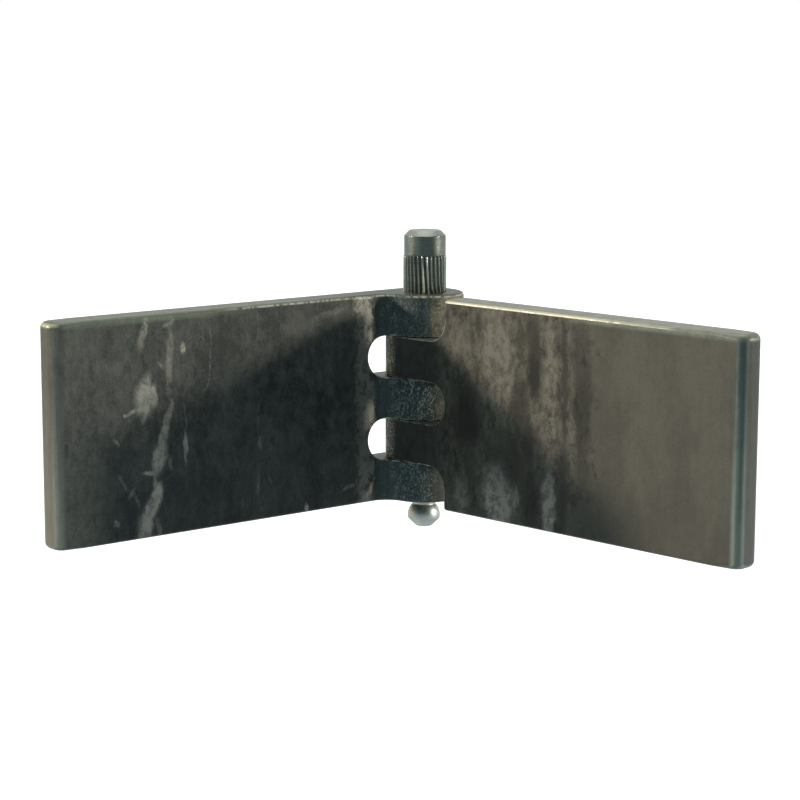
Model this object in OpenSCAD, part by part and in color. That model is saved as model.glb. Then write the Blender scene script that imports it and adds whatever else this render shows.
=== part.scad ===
// Straight weld-on door hinge: two leaves sawn from a bulb profile, a knurled pin and a grease nipple.
// The pin line is the Z axis, and z = 0 is the lower edge of the leaves.

/* [Leaves] */
// Height of each leaf along the pin line
leaf_height = 40; // [30:1:80]
// Distance from the pin line to the outer end of a leaf
leaf_length = 81; // [40:1:120]
// Thickness of the flat part of a leaf
leaf_thickness = 6; // [4.5:0.25:6.5]
// Radius on the upright edges of the outer end
end_radius = 2.4; // [1:0.1:3]
// Radius on the upper and lower edges of the outer end
end_edge_radius = 1.2; // [0.3:0.1:2]
// Radius on the sawn upper and lower edges
edge_radius = 0.7; // [0.2:0.1:0.9]
// Opening between the two leaves as drawn, in degrees
opening_angle = 96; // [60:1:300]

/* [Knuckles] */
// Outer diameter of the knuckles
knuckle_diameter = 15; // [13.5:0.25:18]
// Radius of the hollow between a knuckle and the inner face of its leaf
neck_radius = 4; // [2.5:0.25:6]
// Number of knuckles on the right leaf; the left leaf has one more
right_knuckles = 2; // [1:1:3]
// Free height above each right knuckle, as the right leaf rests on the left one
knuckle_play = 0.12; // [0.08:0.01:0.8]
// Seat gap under each right knuckle
seat_gap = 0.05; // [0.02:0.01:0.1]
// Room past the knuckles before a slot of the left leaf rounds off
left_slot_room = 1; // [0.2:0.1:2]
// Room past the knuckles before a notch of the right leaf rounds off
right_notch_room = 1; // [0.2:0.1:2]

/* [Pin] */
// Diameter of the pin's head and shaft
pin_diameter = 8; // [7:0.25:9]
// Radial clearance of the shaft in the knuckles
pin_clearance = 0.07; // [0.02:0.01:0.1]
// Length of the smooth head above the knurl
head_length = 4.65; // [3:0.05:10]
// Height and width of the chamfer on the head
head_chamfer = 1; // [0.5:0.1:2]
// Length of the knurled band
knurl_length = 7.25; // [3:0.25:12]
// Height of the knurl's crests above the shaft
knurl_crest = 0.16; // [0.12:0.01:0.3]
// Depth of the knurl's furrows below the shaft
knurl_depth = 0.22; // [0.1:0.01:0.4]
// Number of knurl teeth
knurl_teeth = 30; // [24:1:40]
// Lead-in bevel at both ends of the knurl
knurl_bevel = 0.3; // [0.2:0.05:0.4]
// Lean of the knurl over its length, in degrees round the pin
knurl_lean = 5; // [0:0.5:10]
// Bevel on the pin's lower end
pin_bevel = 0.5; // [0.2:0.05:0.55]
// Height of the pin's lower end above the lower edge of the leaves
pin_recess = 3.6; // [3:0.1:6]
// Diameter of the axial grease drilling
grease_drill = 2.4; // [1.5:0.1:3]
// Diameter of the cross holes that feed the right knuckles
grease_outlet = 2; // [1:0.1:2.5]

/* [Grease nipple] */
// Diameter of the shank that is driven into the pin
shank_diameter = 5; // [4.6:0.1:5.4]
// Length of the shank
shank_length = 5; // [4:0.25:8]
// Diameter of the collar that seats on the pin's end
collar_diameter = 6.8; // [6:0.1:6.9]
// Height of the collar
collar_height = 1.6; // [1:0.1:2]
// Diameter of the neck between the collar and the head
neck_diameter = 4.4; // [4:0.1:5]
// Diameter of the ball-shaped head
nipple_diameter = 6.3; // [5.6:0.1:6.8]
// Height of the head's widest line above its tip
widest_height = 2.1; // [1.5:0.1:2.6]
// Distance of the tip below the lower edge of the leaves
nipple_reach = 5.8; // [5:0.1:7]
// Diameter of the flat tip
tip_diameter = 3.2; // [2.6:0.1:3.6]
// Diameter of the mouth in the tip
mouth_diameter = 1.5; // [1:0.1:1.7]
// Depth of the straight part of the mouth
mouth_depth = 0.6; // [0.4:0.1:1]
// Diameter of the valve chamber inside
chamber_diameter = 2.8; // [2.6:0.1:3]
// Diameter of the check ball
ball_diameter = 2.3; // [2:0.1:2.4]
// Gap between the check ball and its conical seat
ball_gap = 0.03; // [0.02:0.01:0.06]
// Wire diameter of the valve spring
spring_wire = 0.3; // [0.2:0.05:0.35]
// Radial clearance of the spring in the valve chamber
spring_clearance = 0.25; // [0.15:0.05:0.3]
// Number of turns of the valve spring
spring_turns = 6; // [4:1:8]
// Height of the crimped lip that holds the spring in
lip_height = 0.4; // [0.3:0.1:0.8]

/* [Hidden] */
$fn = 96;
// Extra length of cuts, and the overlap of surfaces that blend into each other
through = 1;
blend = 0.015;

// Outer end of a leaf: its fillets are limited by the leaf's thickness
end_r = min(end_radius, leaf_thickness / 2);
end_edge = min(end_edge_radius, end_r - blend);

// Knuckles and slots, counted from the lower edge
knuckle_r = knuckle_diameter / 2;
knuckle_pitch = leaf_height / (2 * right_knuckles + 1);
slot_height = knuckle_pitch + knuckle_play / 2;
slot_r = slot_height / 2;
left_slot_reach = knuckle_r + slot_r + left_slot_room;
right_notch_reach = knuckle_r + slot_r + right_notch_room;
bore_d = pin_diameter + 2 * pin_clearance;
function slot_floor(i) = (2 * i + 1) * knuckle_pitch - knuckle_play / 4;
function tab_floor(i) = slot_floor(i) + seat_gap;
function tab_roof(i) = slot_floor(i) + slot_height - knuckle_play;

// The hollow of the neck is an arc that runs into the inner face of the leaf and into the knuckle
inner_face = leaf_thickness - knuckle_r;
hollow_y = inner_face + neck_radius - blend;
hollow_span = knuckle_r + neck_radius - blend;
hollow_x = sqrt(pow(hollow_span, 2) - pow(hollow_y, 2));
touch = knuckle_r / hollow_span;

// Pin, from its lower end to the top of its head; the knurl's bevel stands on the rim of the top bore
pin_r = pin_diameter / 2;
knurl_base = leaf_height + seat_gap - (knurl_bevel - knurl_crest + pin_clearance);
head_base = knurl_base + knurl_length;
shank_r = shank_diameter / 2;
drill_top = tab_roof(right_knuckles - 1);

// Nipple, from its tip up; the check ball lies on a cone of 45 degrees
tip_z = -nipple_reach;
widest_z = tip_z + widest_height;
collar_z = pin_recess - collar_height;
shank_top = pin_recess + shank_length;
nipple_r = nipple_diameter / 2;
tip_r = tip_diameter / 2;
ball_r = ball_diameter / 2;
chamber_r = chamber_diameter / 2;
mouth_r = mouth_diameter / 2;
seat_apex = tip_z + mouth_depth - mouth_r;
chamber_z = seat_apex + chamber_r;
ball_z = seat_apex + (ball_r + ball_gap) * sqrt(2);
lip_z = shank_top - lip_height;
wire_r = spring_wire / 2;
coil_r = chamber_r - spring_clearance - wire_r;
spring_low = ball_z + sqrt(pow(ball_r + ball_gap + wire_r, 2) - pow(coil_r, 2));
spring_high = lip_z - wire_r;

// Rectangle with rounded corners
module rounded_section(width, height, radius) {
  translate([radius, 0]) square([width - 2 * radius, height]);
  translate([0, radius]) square([width, height - 2 * radius]);
  for (x = [radius, width - radius])
    for (y = [radius, height - radius])
      translate([x, y]) circle(radius, $fn = 48);
}

// Upright round as high as a leaf, with its two sawn edges rounded
module rounded_post(radius, fillet) {
  rotate_extrude() intersection() {
    translate([-radius, 0]) rounded_section(2 * radius, leaf_height, fillet);
    square([radius, leaf_height]);
  }
}

// Length of the flat section of a leaf
module leaf_bar(length) {
  rotate([90, 0, 90]) linear_extrude(length)
    rounded_section(leaf_thickness, leaf_height, edge_radius);
}

// Flat part of a leaf, lying along +X behind the knuckles, with its outer end rounded all over
module leaf_plate() {
  end_x = leaf_length - leaf_thickness;
  translate([0, -knuckle_r, 0]) {
    leaf_bar(end_x);
    hull() {
      translate([end_x - through, 0, 0]) leaf_bar(through);
      for (y = [end_r, leaf_thickness - end_r])
        translate([leaf_length - end_r, y, 0]) rounded_post(end_r, end_edge, $fn = 32);
    }
  }
}

// Round bulb that the knuckles are cut from
module leaf_bulb() {
  rounded_post(knuckle_r, edge_radius);
}

// Web between the bulb and the plate, hollowed by an arc that opens out at both sawn edges
module leaf_neck() {
  difference() {
    linear_extrude(leaf_height) polygon([
      [0, -knuckle_r + edge_radius],
      [hollow_x, -knuckle_r + edge_radius],
      [hollow_x, inner_face],
      [hollow_x * touch, hollow_y * touch],
      [0, 0]
    ]);
    translate([hollow_x, hollow_y, 0]) rotate_extrude() difference() {
      translate([0, -through]) square([neck_radius + edge_radius, leaf_height + 2 * through]);
      for (z = [edge_radius, leaf_height - edge_radius])
        translate([neck_radius + edge_radius, z]) circle(edge_radius, $fn = 48);
      translate([neck_radius, edge_radius]) square([edge_radius, leaf_height - 2 * edge_radius]);
    }
  }
}

module leaf_blank() {
  difference() {
    union() {
      leaf_plate();
      leaf_bulb();
      leaf_neck();
    }
    translate([0, 0, -through]) cylinder(d = bore_d, h = leaf_height + 2 * through);
  }
}

// Cut through a leaf from its knuckle side; two corner arcs end it, with a straight stretch between them
module slot(floor_z, straight, reach) {
  rotate([90, 0, 0]) translate([0, floor_z, -2 * knuckle_diameter]) linear_extrude(4 * knuckle_diameter) {
    translate([-knuckle_diameter, 0])
      square([knuckle_diameter + reach - slot_r, straight + 2 * slot_r]);
    if (straight > 0)
      translate([0, slot_r]) square([reach, straight]);
    for (z = [slot_r, slot_r + straight])
      translate([reach - slot_r, z]) circle(slot_r);
  }
}

module left_leaf() {
  color("dimgray") rotate([0, 0, 180]) difference() {
    leaf_blank();
    for (i = [0 : right_knuckles - 1])
      slot(slot_floor(i), 0, left_slot_reach);
  }
}

module right_leaf() {
  overrun = 2 * slot_height;
  color("slategray") rotate([0, 0, 180 + opening_angle]) difference() {
    leaf_blank();
    slot(tab_floor(0) - slot_height - overrun, overrun, right_notch_reach);
    for (i = [1 : 1 : right_knuckles - 1])
      slot(tab_roof(i - 1), seat_gap, right_notch_reach);
    slot(tab_roof(right_knuckles - 1), overrun, right_notch_reach);
  }
}

// Teeth round the pin, leaning a little and bevelled at both ends
module knurl() {
  crest = pin_r + knurl_crest;
  furrow = pin_r - knurl_depth;
  bevel_foot = crest - knurl_bevel;
  bevel_run = knurl_bevel + knurl_crest;
  step = 360 / knurl_teeth;
  intersection() {
    translate([0, 0, knurl_base]) linear_extrude(knurl_length, twist = knurl_lean, slices = 3) polygon([
      for (i = [0 : knurl_teeth - 1], half = [0, 0.5])
        let (r = half == 0 ? crest : furrow, a = (i + half) * step)
        [r * cos(a), r * sin(a)]
    ]);
    translate([0, 0, knurl_base]) rotate_extrude() polygon([
      [0, 0],
      [bevel_foot, 0],
      [bevel_foot + bevel_run, bevel_run],
      [bevel_foot + bevel_run, knurl_length - bevel_run],
      [bevel_foot, knurl_length],
      [0, knurl_length]
    ]);
  }
}

module hinge_pin() {
  color("silver") difference() {
    union() {
      translate([0, 0, pin_recess + pin_bevel])
        cylinder(d = pin_diameter, h = knurl_base - pin_recess - pin_bevel);
      translate([0, 0, pin_recess]) cylinder(r1 = pin_r - pin_bevel, r2 = pin_r, h = pin_bevel);
      knurl();
      translate([0, 0, head_base]) rotate_extrude() polygon([
        [0, 0],
        [pin_r, 0],
        [pin_r, head_length - head_chamfer],
        [pin_r - head_chamfer, head_length],
        [0, head_length]
      ]);
    }
    translate([0, 0, pin_recess - through]) cylinder(d = shank_diameter, h = shank_length + through);
    translate([0, 0, pin_recess]) cylinder(d = grease_drill, h = drill_top - pin_recess);
    for (i = [0 : right_knuckles - 1])
      translate([0, 0, (tab_floor(i) + tab_roof(i)) / 2]) rotate([0, 90, 0])
        cylinder(d = grease_outlet, h = pin_diameter + 2 * through, center = true);
  }
}

// Half section of the nipple: ball-shaped head with a conical tip, neck, collar, shank and valve chamber
module nipple_section() {
  difference() {
    union() {
      intersection() {
        translate([0, widest_z]) circle(nipple_r);
        polygon([
          [0, tip_z],
          [tip_r, tip_z],
          [tip_r + nipple_diameter, tip_z + nipple_diameter],
          [0, tip_z + nipple_diameter]
        ]);
      }
      translate([0, widest_z]) square([neck_diameter / 2, pin_recess - widest_z]);
      translate([0, collar_z]) square([collar_diameter / 2, collar_height]);
      translate([0, pin_recess]) square([shank_r, shank_length]);
    }
    translate([0, tip_z - through]) square([mouth_r, mouth_depth + 2 * through]);
    polygon([
      [0, seat_apex],
      [chamber_r, chamber_z],
      [chamber_r, lip_z],
      [coil_r, lip_z],
      [coil_r, shank_top + through],
      [0, shank_top + through]
    ]);
  }
}

module grease_nipple() {
  color("lightsteelblue") rotate_extrude() nipple_section();
}

module nipple_check_ball() {
  color("gainsboro") translate([0, 0, ball_z]) sphere(ball_r);
}

// Coil spring as a tube swept along a helix
module nipple_spring() {
  sides = 6;
  steps = 20 * spring_turns;
  rise = (spring_high - spring_low) / steps;
  rings = [for (i = [0 : steps], k = [0 : sides - 1])
    let (turn = 360 * spring_turns * i / steps, lean = 360 * k / sides, r = coil_r + wire_r * cos(lean))
    [r * cos(turn), r * sin(turn), spring_low + rise * i + wire_r * sin(lean)]];
  sleeve = [for (i = [0 : steps - 1], k = [0 : sides - 1])
    let (a = i * sides, b = a + sides, n = (k + 1) % sides)
    [a + k, a + n, b + n, b + k]];
  low_cap = [[for (k = [sides - 1 : -1 : 0]) k]];
  high_cap = [[for (k = [0 : sides - 1]) steps * sides + k]];
  color("gray") polyhedron(rings, concat(sleeve, low_cap, high_cap));
}

left_leaf();
right_leaf();
hinge_pin();
grease_nipple();
nipple_check_ball();
nipple_spring();
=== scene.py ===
"""Looks of the straight door hinge: finish, light and camera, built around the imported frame."""

import math

import bmesh
import bpy
from mathutils import Matrix, Vector


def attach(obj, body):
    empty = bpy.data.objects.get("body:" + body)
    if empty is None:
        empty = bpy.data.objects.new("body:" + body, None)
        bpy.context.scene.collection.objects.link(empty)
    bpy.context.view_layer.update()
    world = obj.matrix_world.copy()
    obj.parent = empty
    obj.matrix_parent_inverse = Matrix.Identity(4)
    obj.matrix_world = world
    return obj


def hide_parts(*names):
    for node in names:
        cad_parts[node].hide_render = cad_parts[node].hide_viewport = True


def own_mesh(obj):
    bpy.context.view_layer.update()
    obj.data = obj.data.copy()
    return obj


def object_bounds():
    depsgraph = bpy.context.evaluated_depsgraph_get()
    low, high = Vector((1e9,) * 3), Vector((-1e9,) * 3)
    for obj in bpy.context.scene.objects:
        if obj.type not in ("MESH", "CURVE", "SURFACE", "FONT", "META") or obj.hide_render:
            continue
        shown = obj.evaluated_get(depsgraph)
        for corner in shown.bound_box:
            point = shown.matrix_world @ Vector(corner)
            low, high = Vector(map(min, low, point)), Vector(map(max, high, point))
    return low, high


MM = 0.001

# Camera, fitted to the straight edges of the leaves in the photograph
CAMERA_PLACE = Vector((-276.15, -332.51, 90.03)) * MM
CAMERA_TURN = math.radians(-39.088)
CAMERA_PITCH = math.radians(9.357)
CAMERA_ROLL = math.radians(0.144)
CAMERA_LENS_MM = 101.97
CAMERA_SENSOR_MM = 36.0
CAMERA_CLIP = 0.01
PHOTO_SIDE = 800

# Turn of each leaf about the pin line
LEFT_TURN = math.radians(180)
RIGHT_TURN = math.radians(276)

# Sizes in millimetres that the finish follows
LEAF_HEIGHT = 40
LEAF_THICKNESS = 6
KNUCKLE_RADIUS = 7.5
KNURL_LOW, KNURL_HIGH = 39.9, 47.1
CREST_RADIUS, FURROW_RADIUS = 4.16, 3.78
CHAMFER_LOW = 50.8
STAIN_HEIGHT = 2.6

# Stretches in millimetres, along a leaf or up it, over which the finish of both leaves changes
KNUCKLE_EDGE = (KNUCKLE_RADIUS + 1.4, KNUCKLE_RADIUS - 0.4)
OUTER_END = (70, 74)
END_FOOT = (34, 0)
WORN_TOP = (LEAF_HEIGHT - 1.6, LEAF_HEIGHT - 0.8)
WORN_ALONG = (36, 54)

# The same for the left leaf alone
SPECKED_ALONG, SPECKED_UP = (36, 20), (16, 3)
WORN_AND_PAINTED_LIT_BAND, PAINTED_LIGHT_BAND_TOP = (11.4, 15.2), (24, 32)
BLUE_GREEN, BLUE_GREEN_FOOT = (11.8, 9.8), (14, 2)
TOP_KNUCKLE = (31, 33)
NEAR_PIN = (34, 10)
LEFT_RIM, COOL_RIM = (50, 36), (60, 56)
CROWN_ALONG, CROWN_UP = (74, 78), (30, 36)

# The same for the right leaf alone
LOOSE_SCALE = (50, 44)
TABS = (14, 9)
RIM_FADE, RIGHT_RIM = (46, 60), (67, 64)

# Edges sharper than this, and no further than this from the pin line, are broken
SHARP_ANGLE = math.radians(36)
SHARP_REACH = 30 * MM

# Before that, faces that meet at less than this are joined, and edges shorter than this are closed up
FLAT_ANGLE = math.radians(0.5)
SHORTEST_EDGE = 1e-7

# Floor: its reach each way, its colour as the camera sees it and as it lights the part, and its own glow
FLOOR_REACH = 4.0
FLOOR_SEEN, FLOOR_LIGHTING = (0.6, 0.6, 0.6), (0.42, 0.55, 0.6)
FLOOR_GLOW = 0.95

# How bright metal mirrors the floor: it goes from dim to pale between two depths, in metres past the pin line
MIRROR_DIM, MIRROR_PALE = 0.04, 0.45
MIRROR_DEPTHS = (-0.25, -0.03)

# World: colours and levels of what metal mirrors, and the level of the light that it gives
COOL_ROOM, ROOM_LEVEL = (0.60, 0.93, 1.0), 0.05
BACKDROP, BACKDROP_LEVEL, CEILING_LEVEL = (0.98, 1.0, 0.95), 0.9, 1.0
WARM_WALL, WALL_LEVEL = (1.0, 0.84, 0.64), 0.75
FILL_LEVEL = 0.2

# Colour sockets of the Mix node, which has sockets of its own for each kind of value
MIX_FIRST, MIX_SECOND, MIX_RESULT = 6, 7, 2

# Marks on the leaves, as the photograph shows them: pixels across and down to one end and to the other,
# width in pixels, strength. LeafFinish.ellipse works out where they lie on a leaf.
LEFT_SCUFFS = [
    (145, 323, 141, 345, 8, 0.5),
    (147.5, 379, 146.7, 393, 10, 0.85),
    (143.3, 393, 143.7, 406, 20, 0.85),
    (153, 390, 154, 402, 9, 0.75),
    (138, 408, 127, 416, 4, 0.6),
    (125, 416, 126, 416, 3, 0.8),
    (147.5, 408, 143.7, 419, 7, 0.7),
    (171.7, 404, 169, 417, 6, 0.7),
    (167.5, 416, 165, 433, 8, 0.8),
    (164.5, 432, 161, 450, 10, 0.8),
    (162, 449, 158, 466, 16, 0.85),
    (170, 460, 171, 469, 4.5, 0.5),
    (156, 473, 144, 473, 4.5, 0.7),
    (155, 473, 155, 486, 4.5, 0.6),
    (158.5, 489, 155, 505, 13, 0.9),
    (153, 504, 148, 518, 15, 0.9),
    (146, 517, 144, 540, 17, 0.8),
    (158, 522, 160, 534, 7, 0.4),
    (170, 322, 169, 392, 8, 0.35),
    (173, 320, 163, 327, 4, 0.4),
    (182.5, 344, 182.5, 350, 6, 0.7),
    (185, 408, 186, 430, 2.2, 0.45),
    (185.5, 432, 186, 462, 4, 0.75),
    (158, 363, 163, 368, 3, 0.35),
    (115, 441, 118, 444, 4.5, 0.45),
    (119, 477, 126, 488, 3.5, 0.4),
    (134, 490, 130, 498, 4.5, 0.5),
    (134, 492, 139, 506, 3, 0.35),
    (116, 523, 118, 526, 4.5, 0.45),
    (259, 437, 261, 448, 4, 0.4),
    (259, 469, 258, 491, 4, 0.35),
    (306, 505, 307, 510, 4, 0.8),
    (343, 490, 355, 484, 4, 0.45),
    (315, 319, 343, 309, 6, 0.2),
]
LEFT_SCRATCHES = [
    (210, 327, 212, 343, 2.2, 0.55),
    (211, 345, 210, 362, 2.2, 0.4),
    (210, 362, 209, 383, 2.2, 0.6),
    (209, 382, 203, 393, 2.2, 0.5),
    (200, 335, 206, 342, 3, 0.45),
    (258, 309, 258, 335, 2.2, 0.3),
    (258, 402, 258, 440, 2.2, 0.3),
    (258, 491, 262, 514, 3, 0.4),
    (268, 475, 275, 491, 2.2, 0.5),
    (243, 499, 243, 505, 3, 0.35),
]
LEFT_DARK_AND_PAINTED_SHADE = [
    (153, 416, 155, 434, 13, 0.7),
    (166, 474, 166, 483, 12, 0.7),
    (145, 481, 145, 498, 13, 0.6),
    (118, 500, 126, 511, 16, 0.5),
    (178, 423, 178, 450, 10, 0.5),
    # Painted shade: this wide one darkens the lit face just above the edge of the cast shadow
    (213, 346, 251, 335, 50, 1),
]
RIGHT_PALE = [
    (498, 320, 498, 392, 38, 0.9),
    (489, 398, 500, 440, 32, 0.45),
    (552, 316, 551, 345, 11, 0.6),
    (552, 350, 551, 408, 16, 0.9),
    (547, 412, 549, 462, 18, 0.8),
    (573, 360, 574, 396, 7, 0.45),
    (573, 420, 574, 466, 9, 0.65),
    (461, 476, 461, 506, 20, 0.45),
    (456, 322, 458, 350, 14, 0.3),
    (532, 402, 538, 430, 14, 0.4),
]
RIGHT_BARE = [
    (496, 485, 498, 514, 40, 1),
    (549, 482, 548, 528, 17, 1),
    (515, 488, 516, 508, 8, 0.6),
    (461, 490, 461, 507, 21, 0.4),
]
RIGHT_DARK = [
    (467, 406, 467, 431, 38, 0.8),
    (521, 318, 521, 352, 9, 0.6),
    (534, 358, 533, 388, 18, 1),
    (532, 320, 534, 350, 18, 0.7),
    (478, 314, 478, 330, 5, 0.6),
    (471, 322, 472, 346, 7, 0.4),
    (523, 388, 520, 420, 22, 0.6),
    (500, 450, 514, 468, 42, 0.7),
    (529, 474, 530, 522, 20, 0.9),
    (527, 424, 528, 470, 16, 0.6),
    (564, 318, 565, 440, 8, 0.7),
    (581, 325, 582, 467, 24, 0.7),
    (474, 480, 475, 512, 4, 0.6),
    (563, 440, 562, 530, 10, 0.5),
    (466, 440, 470, 468, 20, 0.4),
]


def camera_axes():
    """The turn from the camera's own axes to those of the part."""
    tilt = Matrix.Rotation(math.pi / 2 - CAMERA_PITCH, 4, "X")
    return Matrix.Rotation(CAMERA_TURN, 4, "Z") @ tilt @ Matrix.Rotation(CAMERA_ROLL, 4, "Z")


def pixel_ray(x, y):
    """The way from the camera through a pixel of the photograph, in the frame of the part."""
    pixel = CAMERA_SENSOR_MM / CAMERA_LENS_MM / PHOTO_SIDE
    middle = PHOTO_SIDE / 2
    return camera_axes().to_3x3() @ Vector(((x - middle) * pixel, (middle - y) * pixel, -1))


def tone(red, green, blue):
    """A colour as the eye reads it, 0 to 255, as the linear values that a shader takes: the sRGB curve."""
    levels = [c / 255 for c in (red, green, blue)]
    return tuple(c / 12.92 if c < 0.04045 else ((c + 0.055) / 1.055) ** 2.4 for c in levels)


class Shader:
    """A node tree, with short calls that add a node and join it up."""

    def __init__(self, owner):
        self.owner = owner
        owner.use_nodes = True
        self.tree = owner.node_tree
        self.tree.nodes.clear()

    def node(self, kind, **settings):
        made = self.tree.nodes.new("ShaderNode" + kind)
        for key, value in settings.items():
            setattr(made, key, value)
        return made

    def feed(self, socket, value):
        """Links an output to a socket, or sets the socket to a plain value."""
        if isinstance(value, bpy.types.NodeSocket):
            self.tree.links.new(value, socket)
        elif isinstance(value, (tuple, list)) and socket.type == "RGBA":
            socket.default_value = (*value, 1.0)
        else:
            socket.default_value = value

    def math(self, operation, first, second=0.0, third=0.0):
        made = self.node("Math", operation=operation)
        for socket, value in zip(made.inputs, (first, second, third)):
            self.feed(socket, value)
        return made.outputs[0]

    def times(self, *values):
        result = values[0]
        for value in values[1:]:
            result = self.math("MULTIPLY", result, value)
        return result

    def most(self, *values):
        result = values[0]
        for value in values[1:]:
            result = self.math("MAXIMUM", result, value)
        return result

    def weigh(self, base, *layers):
        """A number moved up and down by noises that lie round a half, each with its weight."""
        result = base - sum(weight for _, weight in layers) / 2
        for value, weight in layers:
            result = self.math("MULTIPLY_ADD", value, weight, result)
        return result

    def vector(self, operation, first, second=(0, 0, 0), third=(0, 0, 0)):
        made = self.node("VectorMath", operation=operation)
        for socket, value in zip(made.inputs, (first, second, third)):
            self.feed(socket, value)
        return made.outputs["Value"] if operation in ("LENGTH", "DOT_PRODUCT") else made.outputs[0]

    def parts(self, vector):
        made = self.node("SeparateXYZ")
        self.feed(made.inputs[0], vector)
        return made.outputs

    def join(self, first, second, third=0.0):
        made = self.node("CombineXYZ")
        for socket, value in zip(made.inputs, (first, second, third)):
            self.feed(socket, value)
        return made.outputs[0]

    def step(self, value, low, high):
        """0 at low and 1 at high, with a smooth rise between; high below low turns it round."""
        made = self.node("MapRange", interpolation_type="SMOOTHSTEP")
        self.feed(made.inputs["Value"], value)
        self.feed(made.inputs["From Min"], low)
        self.feed(made.inputs["From Max"], high)
        return made.outputs["Result"]

    def window(self, value, low, high, soft):
        """1 between low and high, falling off over soft on both sides."""
        rise = self.step(value, low - soft, low + soft)
        return self.times(rise, self.step(value, high + soft, high - soft))

    def mix(self, share, first, second):
        made = self.node("Mix", data_type="RGBA", clamp_factor=True)
        self.feed(made.inputs["Factor"], share)
        self.feed(made.inputs[MIX_FIRST], first)
        self.feed(made.inputs[MIX_SECOND], second)
        return made.outputs[MIX_RESULT]

    def blend(self, share, first, second):
        """A number that goes from first to second."""
        made = self.node("MapRange", clamp=True)
        self.feed(made.inputs["Value"], share)
        self.feed(made.inputs["To Min"], first)
        self.feed(made.inputs["To Max"], second)
        return made.outputs["Result"]

    def noise(self, place, size, detail=3.0, rough=0.55, warp=0.0, seed=0.0, output="Fac"):
        """Noise with features of about size millimetres along each axis of place."""
        made = self.node("TexNoise", noise_dimensions="4D")
        self.feed(made.inputs["Vector"], self.vector("MULTIPLY", place, [1 / s for s in size]))
        self.feed(made.inputs["W"], seed)
        self.feed(made.inputs["Scale"], 1.0)
        self.feed(made.inputs["Detail"], detail)
        self.feed(made.inputs["Roughness"], rough)
        self.feed(made.inputs["Distortion"], warp)
        return made.outputs[output]

    def ragged(self, plane, place, size, reach, detail):
        """A plane's coordinates, moved about by noise so that the shapes drawn in it get ragged edges."""
        moves = self.noise(place, size, detail=detail, rough=0.6, output="Color")
        moves = self.vector("SUBTRACT", moves, (0.5, 0.5, 0.5))
        return self.vector("MULTIPLY_ADD", moves, (reach, reach, 0), plane)

    def ellipses(self, plane, shapes, soft):
        """The strongest of a list of ellipses at each point of a plane, each falling off round its edge."""
        found = 0.0
        for centre_x, centre_y, half_length, half_width, lean, strength in shapes:
            local = self.node("Mapping", vector_type="TEXTURE")
            local.inputs["Location"].default_value = (centre_x, centre_y, 0)
            local.inputs["Rotation"].default_value = (0, 0, lean)
            local.inputs["Scale"].default_value = (half_length, half_width, 1)
            self.feed(local.inputs["Vector"], plane)
            reach = self.vector("LENGTH", local.outputs[0])
            found = self.most(found, self.times(self.step(reach, 1 + soft, 1 - soft), strength))
        return found

    def bump(self, height, depth_mm):
        made = self.node("Bump")
        self.feed(made.inputs["Height"], height)
        self.feed(made.inputs["Distance"], depth_mm * MM)
        return made.outputs["Normal"]

    def surface(self, colour, roughness, metallic=0.0, normal=None, **constants):
        """Ends the tree in one Principled shader; constants are set on its own sockets."""
        made = self.node("BsdfPrincipled")
        self.feed(made.inputs["Base Color"], colour)
        self.feed(made.inputs["Roughness"], roughness)
        self.feed(made.inputs["Metallic"], metallic)
        if normal is not None:
            self.feed(made.inputs["Normal"], normal)
        for key, value in constants.items():
            made.inputs[key.replace("_", " ")].default_value = value
        output = self.node("OutputMaterial")
        self.tree.links.new(made.outputs["BSDF"], output.inputs["Surface"])
        return self.owner

    def own_frame(self, turn=0.0):
        """Place in millimetres and facing, in a frame turned about the pin line."""
        source = self.node("TexCoord")
        place = self.node("Mapping", vector_type="POINT")
        place.inputs["Rotation"].default_value = (0, 0, -turn)
        place.inputs["Scale"].default_value = (1 / MM,) * 3
        self.feed(place.inputs["Vector"], source.outputs["Object"])
        facing = self.node("Mapping", vector_type="VECTOR")
        facing.inputs["Rotation"].default_value = (0, 0, -turn)
        self.feed(facing.inputs["Vector"], source.outputs["Normal"])
        return place.outputs[0], facing.outputs[0]


def material(name):
    """A new material, as an empty shader that owns it."""
    return Shader(bpy.data.materials.new(name))


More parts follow.
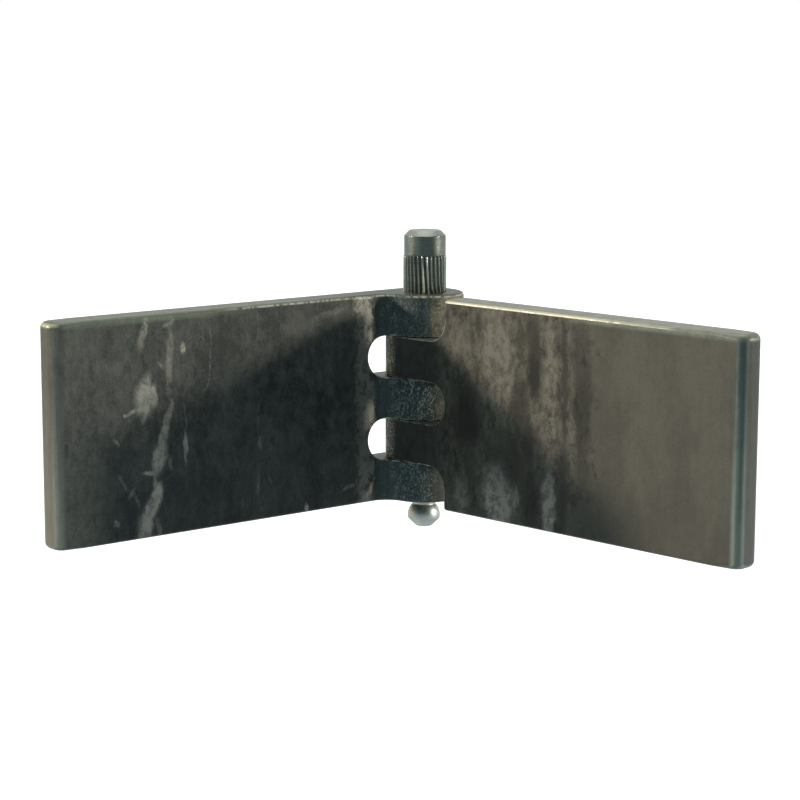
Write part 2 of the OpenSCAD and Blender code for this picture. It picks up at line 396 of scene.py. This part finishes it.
class LeafFinish:
    """What both leaves share: mill scale with a drawn grain, bare sawn faces and satin ends."""

    def __init__(self, name, turn, seen_side):
        s = self.shader = material(name)
        self.turn = turn
        self.face = LEAF_THICKNESS - KNUCKLE_RADIUS if seen_side > 0 else -KNUCKLE_RADIUS
        self.place, self.facing = s.own_frame(turn)
        self.along, _, self.up = s.parts(self.place)
        self.face_along, self.face_across, self.face_up = s.parts(self.facing)
        self.to_front = s.times(self.face_across, seen_side)
        self.plane = s.join(self.along, self.up)
        self.cloud = s.step(s.noise(self.place, (9, 9, 14), detail=3, warp=0.3), 0.38, 0.62)
        self.drawn = s.noise(self.place, (0.7, 0.7, 20), detail=3, rough=0.6, seed=2)
        blotch = s.noise(self.place, (3.6, 3.6, 5.0), detail=5, rough=0.6, warp=0.3, seed=3)
        self.blotch = s.step(blotch, 0.39, 0.61)
        mottle = s.noise(self.place, (1.3, 1.3, 2.0), detail=3, warp=0.3, seed=4)
        self.mottle = s.step(mottle, 0.37, 0.63)
        self.grain = s.step(s.noise(self.place, (0.32, 0.32, 0.42), detail=2, rough=0.6, seed=6), 0.34, 0.66)
        self.fine = s.noise(self.place, (0.24, 0.24, 0.42), detail=2, rough=0.5, warp=0.4, seed=20)
        self.room = s.noise(self.place, (1.0, 1.0, 2.0), detail=2, rough=0.5, seed=21)
        self.seen = s.step(self.to_front, 0.4, 0.8)
        self.knuckle = s.step(self.along, *KNUCKLE_EDGE)

    def turned_to(self, angle, width):
        """1 where the round of a knuckle faces an angle, falling off over a width in degrees."""
        s = self.shader
        towards = (math.cos(math.radians(angle)), math.sin(math.radians(angle)), 0)
        share = s.vector("DOT_PRODUCT", self.facing, towards)
        return s.step(share, math.cos(math.radians(width)), math.cos(math.radians(width * 0.55)))

    def flecks(self, amount):
        """Fine spots where the scale has come off; more of them for a higher amount."""
        s = self.shader
        return s.step(s.weigh(amount, (self.fine, 2.6), (self.room, 1.0)), 0.5, 0.75)

    def seen_at(self, x, y):
        """The point of the seen face, along the leaf and up, that a pixel of the photograph shows."""
        unturned = Matrix.Rotation(-self.turn, 3, "Z")
        start = unturned @ CAMERA_PLACE / MM
        way = unturned @ pixel_ray(x, y)
        point = start + way * ((self.face - start.y) / way.y)
        return Vector((point.x, point.z))

    def ellipse(self, x1, y1, x2, y2, width, strength):
        """A mark of the photograph on the leaf: centre, half length, half width, lean and strength."""
        first, last = self.seen_at(x1, y1), self.seen_at(x2, y2)
        centre, run = (first + last) / 2, last - first
        x, y = (x1 + x2) / 2, (y1 + y2) / 2
        half_width = (self.seen_at(x, y + width / 2) - self.seen_at(x, y)).length
        lean = math.atan2(run.y, run.x)
        return centre.x, centre.y, run.length / 2 + half_width, half_width, lean, strength

    def patches(self, marks, soft, size, reach):
        """Marks of the photograph on the seen face, with soft and ragged edges."""
        s = self.shader
        shapes = [self.ellipse(*mark) for mark in marks]
        plane = s.ragged(self.plane, self.place, size, reach, detail=4)
        return s.times(s.ellipses(plane, shapes, soft), self.seen)

    def top_edge(self, low, high, finish):
        """1 on the rounded upper edge of the seen face, where a noise called finish lets it."""
        s = self.shader
        return s.times(s.window(self.face_up, low, high, 0.13), s.step(self.to_front, 0.2, 0.5), finish)

    def close(self, colour, polish, rise, ends, bends, sawn_tones, rim, rim_tone):
        """Adds ends, sawn faces and rims, which are worn edges with a painted highlight, over the scale, and
        the shader's last node.
        """
        s = self.shader
        lines = s.noise(self.place, (14, 0.16, 4), detail=2, seed=8)
        brushed = s.noise(self.place, (0.35, 0.35, 16), detail=3, rough=0.6, seed=9)
        share = s.weigh(0.25, (brushed, 1.3), (self.blotch, 0.2), (self.grain, 0.15))
        share = s.math("MULTIPLY_ADD", s.step(self.up, *END_FOOT), 0.7, share)
        outer = s.step(self.along, *OUTER_END)
        end = s.times(s.step(self.face_along, 0.0, rise), outer)
        polish = s.times(polish, s.math("SUBTRACT", 1.0, end))
        colour = s.mix(end, colour, s.mix(share, *bends))
        flat_end = s.times(s.step(self.face_along, 0.86, 0.99), outer)
        colour = s.mix(flat_end, colour, s.mix(share, *ends))

        # Sawn faces run over onto the flat near the ends, where their edges are worn rounder
        sawn = s.step(s.math("ABSOLUTE", self.face_up), 0.45, 0.8)
        sawn_share = s.weigh(0.5, (lines, 1.2), (self.blotch, 0.25), (self.mottle, 0.2), (self.grain, 0.2))
        sawn_tone = s.mix(sawn_share, *sawn_tones)
        colour = s.mix(sawn, colour, sawn_tone)
        worn = s.times(s.step(self.up, *WORN_TOP), s.step(self.along, *WORN_ALONG))
        colour = s.mix(s.times(worn, 0.9), colour, sawn_tone)
        colour = s.mix(rim, colour, rim_tone)
        bare = s.most(s.times(sawn, 0.6), s.times(end, 0.25), s.times(rim, 0.4), polish)
        roughness = s.weigh(0.5, (self.mottle, 0.12), (self.grain, 0.1))
        roughness = s.math("MULTIPLY_ADD", polish, -0.22, roughness)
        roughness = s.blend(s.most(sawn, end), roughness, s.weigh(0.45, (lines, 0.2), (brushed, 0.2)))
        height = s.weigh(0.5, (self.mottle, 0.2), (self.grain, 0.15), (self.drawn, 0.3))
        return s.surface(colour, roughness, bare, s.bump(height, 0.05), Specular_IOR_Level=0.24)


def left_material():
    """The left leaf: dark grey scale with pale scuffs, and flecked blue-green knuckles."""
    f = LeafFinish("left_scale", LEFT_TURN, 1)
    s = f.shader
    wild = s.weigh(0.0, (f.cloud, 0.12), (f.blotch, 0.12), (f.mottle, 0.13))
    lines = s.weigh(0.0, (f.drawn, 1.0))
    level = s.math("MULTIPLY_ADD", wild, s.blend(f.seen, 0.5, 1.0), s.weigh(0.17, (f.grain, 0.12)))
    level = s.math("MULTIPLY_ADD", lines, s.blend(f.seen, 0.5, 0.15), level)

    # Scuffs, scratches, darker spots, one of them a painted shadow edge, and the band beside the hollow,
    # which is worn and also lightened as painted light
    rubbed = f.patches(LEFT_SCUFFS, 0.45, (1.2, 1.2, 1.6), 1.5)
    rubbed = s.times(rubbed, s.weigh(0.86, (f.blotch, 0.15), (f.mottle, 0.35), (f.grain, 0.3)))
    scored = f.patches(LEFT_SCRATCHES, 0.5, (3.0, 3.0, 4.0), 0.8)
    scored = s.times(scored, s.weigh(0.4, (f.mottle, 0.4), (f.grain, 0.3)))
    dark = f.patches(LEFT_DARK_AND_PAINTED_SHADE, 0.7, (2.0, 2.0, 2.6), 2.0)
    specks = s.noise(f.place, (0.4, 0.4, 0.7), detail=3, rough=0.6, seed=12)
    low_inner = s.times(s.step(f.up, *SPECKED_UP), s.step(f.along, *SPECKED_ALONG))
    specks = s.times(s.step(specks, 0.58, 0.7), s.step(f.cloud, 0.2, 0.8), s.blend(low_inner, 0.16, 0.5))
    edge = s.weigh(0.0, (f.mottle, 1.6), (f.blotch, 1.2))
    worn_and_painted_lit_band = s.times(s.window(s.math("ADD", f.along, edge), *WORN_AND_PAINTED_LIT_BAND, soft=0.9), f.seen)
    worn_and_painted_lit_band = s.times(worn_and_painted_lit_band, s.weigh(0.72, (f.mottle, 0.45), (f.grain, 0.35), (f.blotch, 0.2)))
    # Painted light: the band is made lighter towards its top, where lamp light falls through the notch
    worn_and_painted_lit_band = s.times(worn_and_painted_lit_band, s.blend(s.step(f.up, *PAINTED_LIGHT_BAND_TOP), 1.0, 1.35))
    level = s.math("ADD", level, s.most(rubbed, scored, specks, worn_and_painted_lit_band))
    level = s.math("SUBTRACT", level, s.times(dark, 0.11))
    colour = s.mix(level, tone(46, 48, 49), tone(139, 135, 129))

    # Knuckles, with flecks, painted warm light on the far turn, lightest on the top knuckle, and two thin
    # worn lines
    teal = s.step(f.along, *BLUE_GREEN)
    teal_share = s.weigh(0.36, (f.cloud, 0.2), (f.drawn, 1.5), (f.mottle, 0.2), (f.grain, 0.3))
    teal_share = s.math("MULTIPLY_ADD", s.step(f.up, *BLUE_GREEN_FOOT), 0.5, teal_share)
    colour = s.mix(teal, colour, s.mix(teal_share, tone(50, 60, 61), tone(88, 96, 95)))
    top = s.step(f.up, *TOP_KNUCKLE)
    # Painted light: the far turn of each knuckle is painted warm and lighter, most of all on the top knuckle,
    # as if lit there, and the flecks on it are warmed with it
    far_turn = s.times(f.turned_to(98, 48), f.knuckle)
    brown = s.times(far_turn, s.weigh(0.6, (f.mottle, 0.6), (f.grain, 0.3)), s.blend(top, 0.7, 1.0))
    colour = s.mix(brown, colour, s.mix(top, tone(86, 79, 68), tone(146, 133, 115)))
    shed = s.times(f.flecks(0.45), f.turned_to(41, 34), f.knuckle, s.blend(top, 1.0, 0.4))
    shed = s.most(shed, s.times(f.flecks(0.34), far_turn, s.blend(top, 0.4, 0.8)))
    line = s.times(s.most(f.turned_to(-19, 4), f.turned_to(-4, 3)), f.knuckle, s.step(f.blotch, 0.2, 0.8))
    shed = s.most(shed, s.times(line, 0.45), s.times(f.flecks(0.24), teal, 0.4))
    colour = s.mix(s.times(shed, 0.9), colour, s.mix(brown, tone(166, 172, 166), tone(190, 170, 142)))

    # A thin bright line along the upper front edge, worn and painted as a highlight, and a painted highlight
    # on the outer top corner
    dashes = s.noise(f.place, (0.6, 3, 3), detail=3, rough=0.65, seed=14)
    rim = f.top_edge(0.34, 0.7, s.times(s.step(dashes, 0.38, 0.56), s.step(f.along, *LEFT_RIM)))
    painted_corner_highlight = s.times(s.window(f.face_up, 0.35, 0.8, 0.2), s.step(f.face_along, 0.25, 0.6))
    painted_corner_highlight = s.times(painted_corner_highlight, s.step(f.along, *CROWN_ALONG), s.step(f.up, *CROWN_UP))
    polish = s.most(rubbed, s.times(worn_and_painted_lit_band, 0.4))
    near_pin = s.step(f.along, *NEAR_PIN)
    sawn = (s.mix(near_pin, tone(84, 88, 79), tone(62, 67, 63)),
            s.mix(near_pin, tone(122, 127, 115), tone(92, 98, 92)))
    cool = s.times(rim, s.step(f.along, *COOL_RIM))
    rim_tone = s.mix(cool, tone(206, 194, 168), tone(186, 188, 176))
    return f.close(colour, polish, rise=0.8, ends=(tone(84, 77, 69), tone(126, 117, 106)),
                   bends=(tone(104, 100, 94), tone(156, 151, 142)), sawn_tones=sawn,
                   rim=s.most(rim, s.times(painted_corner_highlight, 0.7)), rim_tone=rim_tone)


def right_material():
    """The right leaf: brown-grey scale, ragged patches near the knuckles, smooth further out."""
    f = LeafFinish("right_scale", RIGHT_TURN, -1)
    s = f.shader
    loose = s.step(s.math("ADD", f.along, s.weigh(0.0, (f.mottle, 4.0), (f.blotch, 4.0))), *LOOSE_SCALE)
    level = s.weigh(0.44, (f.cloud, 0.14), (f.drawn, 0.12), (f.grain, 0.06))
    wild = s.weigh(0.0, (f.mottle, 0.42), (f.blotch, 0.3), (f.grain, 0.2))
    level = s.math("ADD", level, s.times(wild, s.blend(loose, 0.08, 0.75)))
    dark = f.patches(RIGHT_DARK, 0.5, (2.4, 2.4, 4.0), 3.0)
    pale = f.patches(RIGHT_PALE, 0.45, (2.4, 2.4, 4.0), 2.6)
    level = s.math("ADD", level, s.times(pale, s.weigh(0.36, (f.mottle, 0.25), (f.grain, 0.15))))
    depth = s.weigh(0.4, (f.mottle, 0.45), (f.blotch, 0.25), (f.grain, 0.2))
    level = s.math("SUBTRACT", level, s.times(dark, depth))
    bare = f.patches(RIGHT_BARE, 0.4, (2.0, 2.0, 2.8), 2.4)
    bare = s.times(bare, s.weigh(0.75, (f.mottle, 0.5), (f.grain, 0.4)))
    level = s.math("ADD", level, s.times(bare, 0.5))
    colour = s.mix(level, tone(44, 41, 38), tone(128, 119, 109))
    colour = s.mix(s.times(bare, 0.6), colour, tone(128, 132, 131))

    # Tabs: darker scale; where the tabs roll away, painted light: a tan cast as from the lamp through the
    # slots, with tan flecks in it
    tab = s.step(f.along, *TABS)
    tab_share = s.weigh(0.5, (f.mottle, 0.3), (f.grain, 0.3), (f.drawn, 0.5))
    colour = s.mix(s.times(tab, 0.85), colour, s.mix(tab_share, tone(58, 56, 56), tone(82, 78, 77)))
    curl_with_painted_light = s.times(s.step(f.face_along, -0.03, -0.2), s.step(f.to_front, 0.3, 0.72), f.knuckle)
    colour = s.mix(s.times(curl_with_painted_light, s.blend(f.mottle, 0.4, 0.9)), colour, tone(112, 90, 74))
    colour = s.mix(s.times(f.flecks(0.5), curl_with_painted_light), colour, tone(208, 190, 164))

    # Bright upper front edge, worn and painted as a highlight, which fades out short of the outer end
    dashes = s.noise(f.place, (2.2, 3, 3), detail=3, rough=0.6, seed=14)
    fade = s.blend(s.step(f.along, *RIM_FADE), 1.0, 0.5)
    bright = s.times(s.step(dashes, 0.26, 0.4), s.step(f.along, *RIGHT_RIM), fade, 0.9)
    rim = f.top_edge(0.16, 0.86, bright)

    # The round of the end has a painted reflection of the room, set by which way the surface faces: two light
    # strips with a dark blue line between them
    painted_reflection_strips = s.most(s.window(f.to_front, 0.12, 0.5, 0.08), s.window(f.to_front, 0.86, 0.96, 0.04))
    painted_reflection_line = s.window(f.to_front, 0.6, 0.74, 0.07)
    low = s.mix(painted_reflection_line, s.mix(painted_reflection_strips, tone(88, 90, 88), tone(114, 116, 111)), tone(68, 78, 81))
    high = s.mix(painted_reflection_line, s.mix(painted_reflection_strips, tone(130, 133, 129), tone(160, 162, 156)), tone(112, 121, 122))
    return f.close(colour, s.times(bare, 0.9), rise=0.35, ends=(tone(70, 69, 67), tone(94, 93, 91)),
                   bends=(low, high), sawn_tones=(tone(102, 103, 96), tone(152, 153, 141)),
                   rim=rim, rim_tone=tone(206, 198, 180))


def worn_edge(name, scale_tone, bright_tone):
    """The broken edges of slots and bores, rubbed bright in places."""
    s = material(name)
    place, _ = s.own_frame()
    rub = s.noise(place, (1.6, 1.6, 1.6), detail=4, rough=0.65)
    share = s.step(rub, 0.4, 0.58)
    colour = s.mix(share, scale_tone, bright_tone)
    return s.surface(colour, s.blend(share, 0.5, 0.36), s.times(share, 0.7), Specular_IOR_Level=0.3)


def pin_material():
    """Turned steel: fine rings, dark furrows in the knurl, and a brown stain at its foot."""
    s = material("pin_turned")
    place, _ = s.own_frame()
    across_x, across_y, up = s.parts(place)
    radius = s.vector("LENGTH", s.join(across_x, across_y))
    rings = s.noise(place, (9, 9, 0.11), detail=3, rough=0.6)
    smear = s.noise(place, (1.6, 1.6, 5), detail=4, rough=0.6, seed=3)
    knurled = s.window(up, KNURL_LOW, KNURL_HIGH, 0.15)
    furrow = s.times(s.step(radius, CREST_RADIUS - 0.08, FURROW_RADIUS + 0.05), knurled)
    colour = s.mix(s.weigh(0.5, (rings, 1.0), (smear, 1.4)), tone(88, 95, 96), tone(142, 139, 130))
    crest = s.times(s.step(radius, CREST_RADIUS - 0.16, CREST_RADIUS - 0.02), knurled)
    colour = s.mix(s.times(furrow, 0.55), colour, tone(56, 64, 65))
    colour = s.mix(s.times(crest, 0.46), colour, tone(178, 184, 178))
    cut = s.step(up, CHAMFER_LOW - 0.1, CHAMFER_LOW + 0.1)
    colour = s.mix(s.times(cut, 0.6), colour, tone(156, 165, 160))
    foot = s.times(s.step(up, KNURL_LOW + STAIN_HEIGHT, KNURL_LOW), s.step(smear, 0.35, 0.6))
    colour = s.mix(s.times(foot, 0.35), colour, tone(112, 96, 76))
    roughness = s.weigh(0.28, (rings, 0.25), (smear, 0.25))
    roughness = s.blend(furrow, roughness, 0.6)
    roughness = s.blend(cut, roughness, 0.46)
    return s.surface(colour, roughness, 1.0, s.bump(rings, 0.012))


def zinc_material():
    """Bright zinc with a faint blue and straw tint."""
    s = material("zinc_bright")
    place, _ = s.own_frame()
    tint = s.noise(place, (2.2, 2.2, 1.6), detail=3)
    spots = s.noise(place, (0.35, 0.35, 0.35), detail=3, rough=0.65, seed=5)
    colour = s.mix(s.step(tint, 0.38, 0.62), tone(176, 190, 194), tone(200, 194, 182))
    colour = s.mix(s.step(spots, 0.58, 0.7), colour, tone(150, 156, 156))
    roughness = s.weigh(0.44, (tint, 0.15), (spots, 0.2))
    return s.surface(colour, roughness, 1.0, s.bump(spots, 0.008))


def drawn_material(name, low, high, roughness, size):
    """Bare steel of the small inner pieces, with a faint drawn or ground grain."""
    s = material(name)
    place, _ = s.own_frame()
    grain = s.noise(place, size, detail=4, rough=0.6)
    return s.surface(s.mix(s.step(grain, 0.36, 0.64), low, high), s.weigh(roughness, (grain, 0.2)), 1.0)


def edged_copy(node, name, body, materials, break_mm, weld_mm):
    """A copy of a node's mesh with its sharp edges broken, which stands for that node."""
    mesh = bpy.data.meshes.new(name)
    work = bmesh.new()
    work.from_mesh(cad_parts[node].data)
    if break_mm:
        bmesh.ops.remove_doubles(work, verts=work.verts, dist=weld_mm * MM)
        bmesh.ops.dissolve_degenerate(work, edges=work.edges, dist=SHORTEST_EDGE)
        bmesh.ops.dissolve_limit(work, angle_limit=FLAT_ANGLE, verts=work.verts, edges=work.edges)
        near = [e for e in work.edges if max(v.co.xy.length for v in e.verts) < SHARP_REACH]
        sharp = [e for e in near if e.is_manifold and e.calc_face_angle() > SHARP_ANGLE]
        bmesh.ops.bevel(work, geom=sharp, offset=break_mm * MM, offset_type="OFFSET", segments=2,
                        profile=0.5, affect="EDGES", clamp_overlap=False, material=1)
    for face in work.faces:
        face.smooth = True
    work.to_mesh(mesh)
    work.free()
    made = bpy.data.objects.new(name, mesh)
    bpy.context.scene.collection.objects.link(made)
    for entry in materials:
        mesh.materials.append(entry)
    made.modifiers.new("even_shading", "WEIGHTED_NORMAL").keep_sharp = True
    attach(made, body)
    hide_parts(node)
    return made


def camera_frame(right, ahead, up):
    """A direction as the camera sees it, in the frame of the part."""
    return Matrix.Rotation(CAMERA_TURN, 3, "Z") @ Vector((right, ahead, up))


def lamp(name, side, rise, distance, width, power, colour):
    """A round lamp, placed by its angle to the side of the camera and its height angle, in degrees."""
    side, rise = math.radians(side), math.radians(rise)
    aim = Vector((0, 0, LEAF_HEIGHT / 2 * MM))
    level = math.cos(rise)
    place = aim + distance * camera_frame(math.sin(side) * level, -math.cos(side) * level, math.sin(rise))
    data = bpy.data.lights.new(name, "AREA")
    data.shape = "DISK"
    data.size = width
    data.energy = power
    data.color = colour
    made = bpy.data.objects.new(name, data)
    made.location = place
    made.rotation_mode = "QUATERNION"
    made.rotation_quaternion = (aim - place).to_track_quat("-Z", "Y")
    bpy.context.scene.collection.objects.link(made)


def shown_to(s):
    """1 for rays from the camera or through glass, and 1 for mirrored rays."""
    path = s.node("LightPath")
    direct = s.most(path.outputs["Is Camera Ray"], path.outputs["Is Transmission Ray"])
    return direct, path.outputs["Is Glossy Ray"]


def make_floor():
    """A pale floor, which metal mirrors as pale behind the part and as dim in front of it."""
    z = cad_box[0].z
    mesh = bpy.data.meshes.new("floor")
    corners = [(x * FLOOR_REACH, y * FLOOR_REACH, z) for x, y in ((-1, -1), (1, -1), (1, 1), (-1, 1))]
    mesh.from_pydata(corners, [], [(0, 1, 2, 3)])
    made = bpy.data.objects.new("floor", mesh)
    bpy.context.scene.collection.objects.link(made)
    s = material("floor_pale")
    lit = s.node("BsdfDiffuse")
    direct, mirrored = shown_to(s)
    s.feed(lit.inputs["Color"], s.mix(direct, FLOOR_LIGHTING, FLOOR_SEEN))
    place = s.node("NewGeometry").outputs["Position"]
    depth = s.vector("DOT_PRODUCT", place, tuple(camera_frame(0, 1, 0)))
    mirrored_level = s.blend(s.step(depth, *MIRROR_DEPTHS), MIRROR_DIM, MIRROR_PALE)
    white = s.node("Emission")
    glow = s.most(s.times(direct, FLOOR_GLOW), s.times(mirrored, mirrored_level))
    s.feed(white.inputs["Strength"], glow)
    both = s.node("AddShader")
    s.feed(both.inputs[0], lit.outputs[0])
    s.feed(both.inputs[1], white.outputs[0])
    output = s.node("OutputMaterial")
    s.feed(output.inputs["Surface"], both.outputs[0])
    mesh.materials.append(s.owner)


def make_world():
    """A white backdrop behind the part, a warm wall at its left and a dim cool room in front."""
    world = bpy.data.worlds.new("studio")
    bpy.context.scene.world = world
    s = Shader(world)
    direct, mirrored = shown_to(s)
    way = s.node("TexCoord").outputs["Generated"]
    behind = s.step(s.vector("DOT_PRODUCT", way, tuple(camera_frame(0, 1, 0))), 0.0, 0.55)
    above = s.step(s.vector("DOT_PRODUCT", way, (0, 0, 1)), 0.5, 0.95)
    beside = s.step(s.vector("DOT_PRODUCT", way, tuple(camera_frame(-1, 0, 0))), 0.6, 0.97)
    room = s.most(s.blend(behind, ROOM_LEVEL, BACKDROP_LEVEL), s.blend(above, ROOM_LEVEL, CEILING_LEVEL),
                  s.times(beside, WALL_LEVEL))
    level = s.blend(mirrored, FILL_LEVEL, room)
    back = s.node("Background")
    cool = s.mix(s.times(mirrored, s.most(behind, above)), COOL_ROOM, BACKDROP)
    tinted = s.mix(s.times(mirrored, beside), cool, WARM_WALL)
    s.feed(back.inputs["Color"], s.mix(direct, tinted, (1, 1, 1)))
    s.feed(back.inputs["Strength"], s.blend(direct, level, 1.0))
    output = s.node("OutputWorld")
    s.feed(output.inputs["Surface"], back.outputs[0])


def make_camera():
    """The photograph's view."""
    data = bpy.data.cameras.new("camera")
    data.lens = CAMERA_LENS_MM
    data.sensor_width = CAMERA_SENSOR_MM
    data.clip_start = CAMERA_CLIP
    made = bpy.data.objects.new("camera", data)
    made.matrix_world = Matrix.Translation(CAMERA_PLACE) @ camera_axes()
    bpy.context.scene.collection.objects.link(made)
    bpy.context.scene.camera = made


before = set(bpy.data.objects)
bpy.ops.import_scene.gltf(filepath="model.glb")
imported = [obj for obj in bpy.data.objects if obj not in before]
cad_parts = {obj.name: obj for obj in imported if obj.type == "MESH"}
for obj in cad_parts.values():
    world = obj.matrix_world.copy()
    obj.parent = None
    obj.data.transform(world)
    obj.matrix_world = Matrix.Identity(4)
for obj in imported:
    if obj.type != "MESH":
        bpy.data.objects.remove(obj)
cad_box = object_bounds()

left_scale = left_material()
right_scale = right_material()
left_edge = worn_edge("left_edge", tone(70, 78, 77), tone(196, 200, 192))
right_edge = worn_edge("right_edge", tone(84, 80, 72), tone(200, 194, 180))
pin_steel = pin_material()
zinc = zinc_material()
ball_steel = drawn_material("ball_ground", tone(170, 172, 174), tone(200, 202, 204),
                            roughness=0.12, size=(0.3, 0.3, 0.3))
wire_steel = drawn_material("spring_wire", tone(112, 112, 116), tone(160, 160, 164),
                            roughness=0.32, size=(0.4, 0.4, 0.05))

edged_copy("left_leaf", "left_leaf_surface", "left_leaf",
           [left_scale, left_edge], break_mm=0.2, weld_mm=0.06)
edged_copy("right_leaf", "right_leaf_surface", "right_leaf",
           [right_scale, right_edge], break_mm=0.2, weld_mm=0.06)
edged_copy("hinge_pin", "hinge_pin_surface", "pin",
           [pin_steel, pin_steel], break_mm=0.08, weld_mm=0.01)
edged_copy("grease_nipple", "grease_nipple_surface", "pin",
           [zinc, zinc], break_mm=0.08, weld_mm=0.01)
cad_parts["nipple_check_ball"].data.materials[0] = ball_steel
spring = edged_copy("nipple_spring", "nipple_spring_surface", "pin",
                    [wire_steel], break_mm=0, weld_mm=0)
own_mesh(spring)

make_camera()
lamp("right_lamp", side=80, rise=11.85, distance=1.0, width=0.12, power=6.4, colour=(1.0, 0.96, 0.80))
lamp("left_lamp", side=-86, rise=19.8, distance=1.0, width=0.10, power=8.5, colour=(1.0, 0.95, 0.79))
lamp("overhead", side=180, rise=78, distance=1.0, width=0.9, power=3.0, colour=(1.0, 1.0, 0.94))
make_world()
make_floor()
bpy.context.scene.view_settings.view_transform = "Standard"
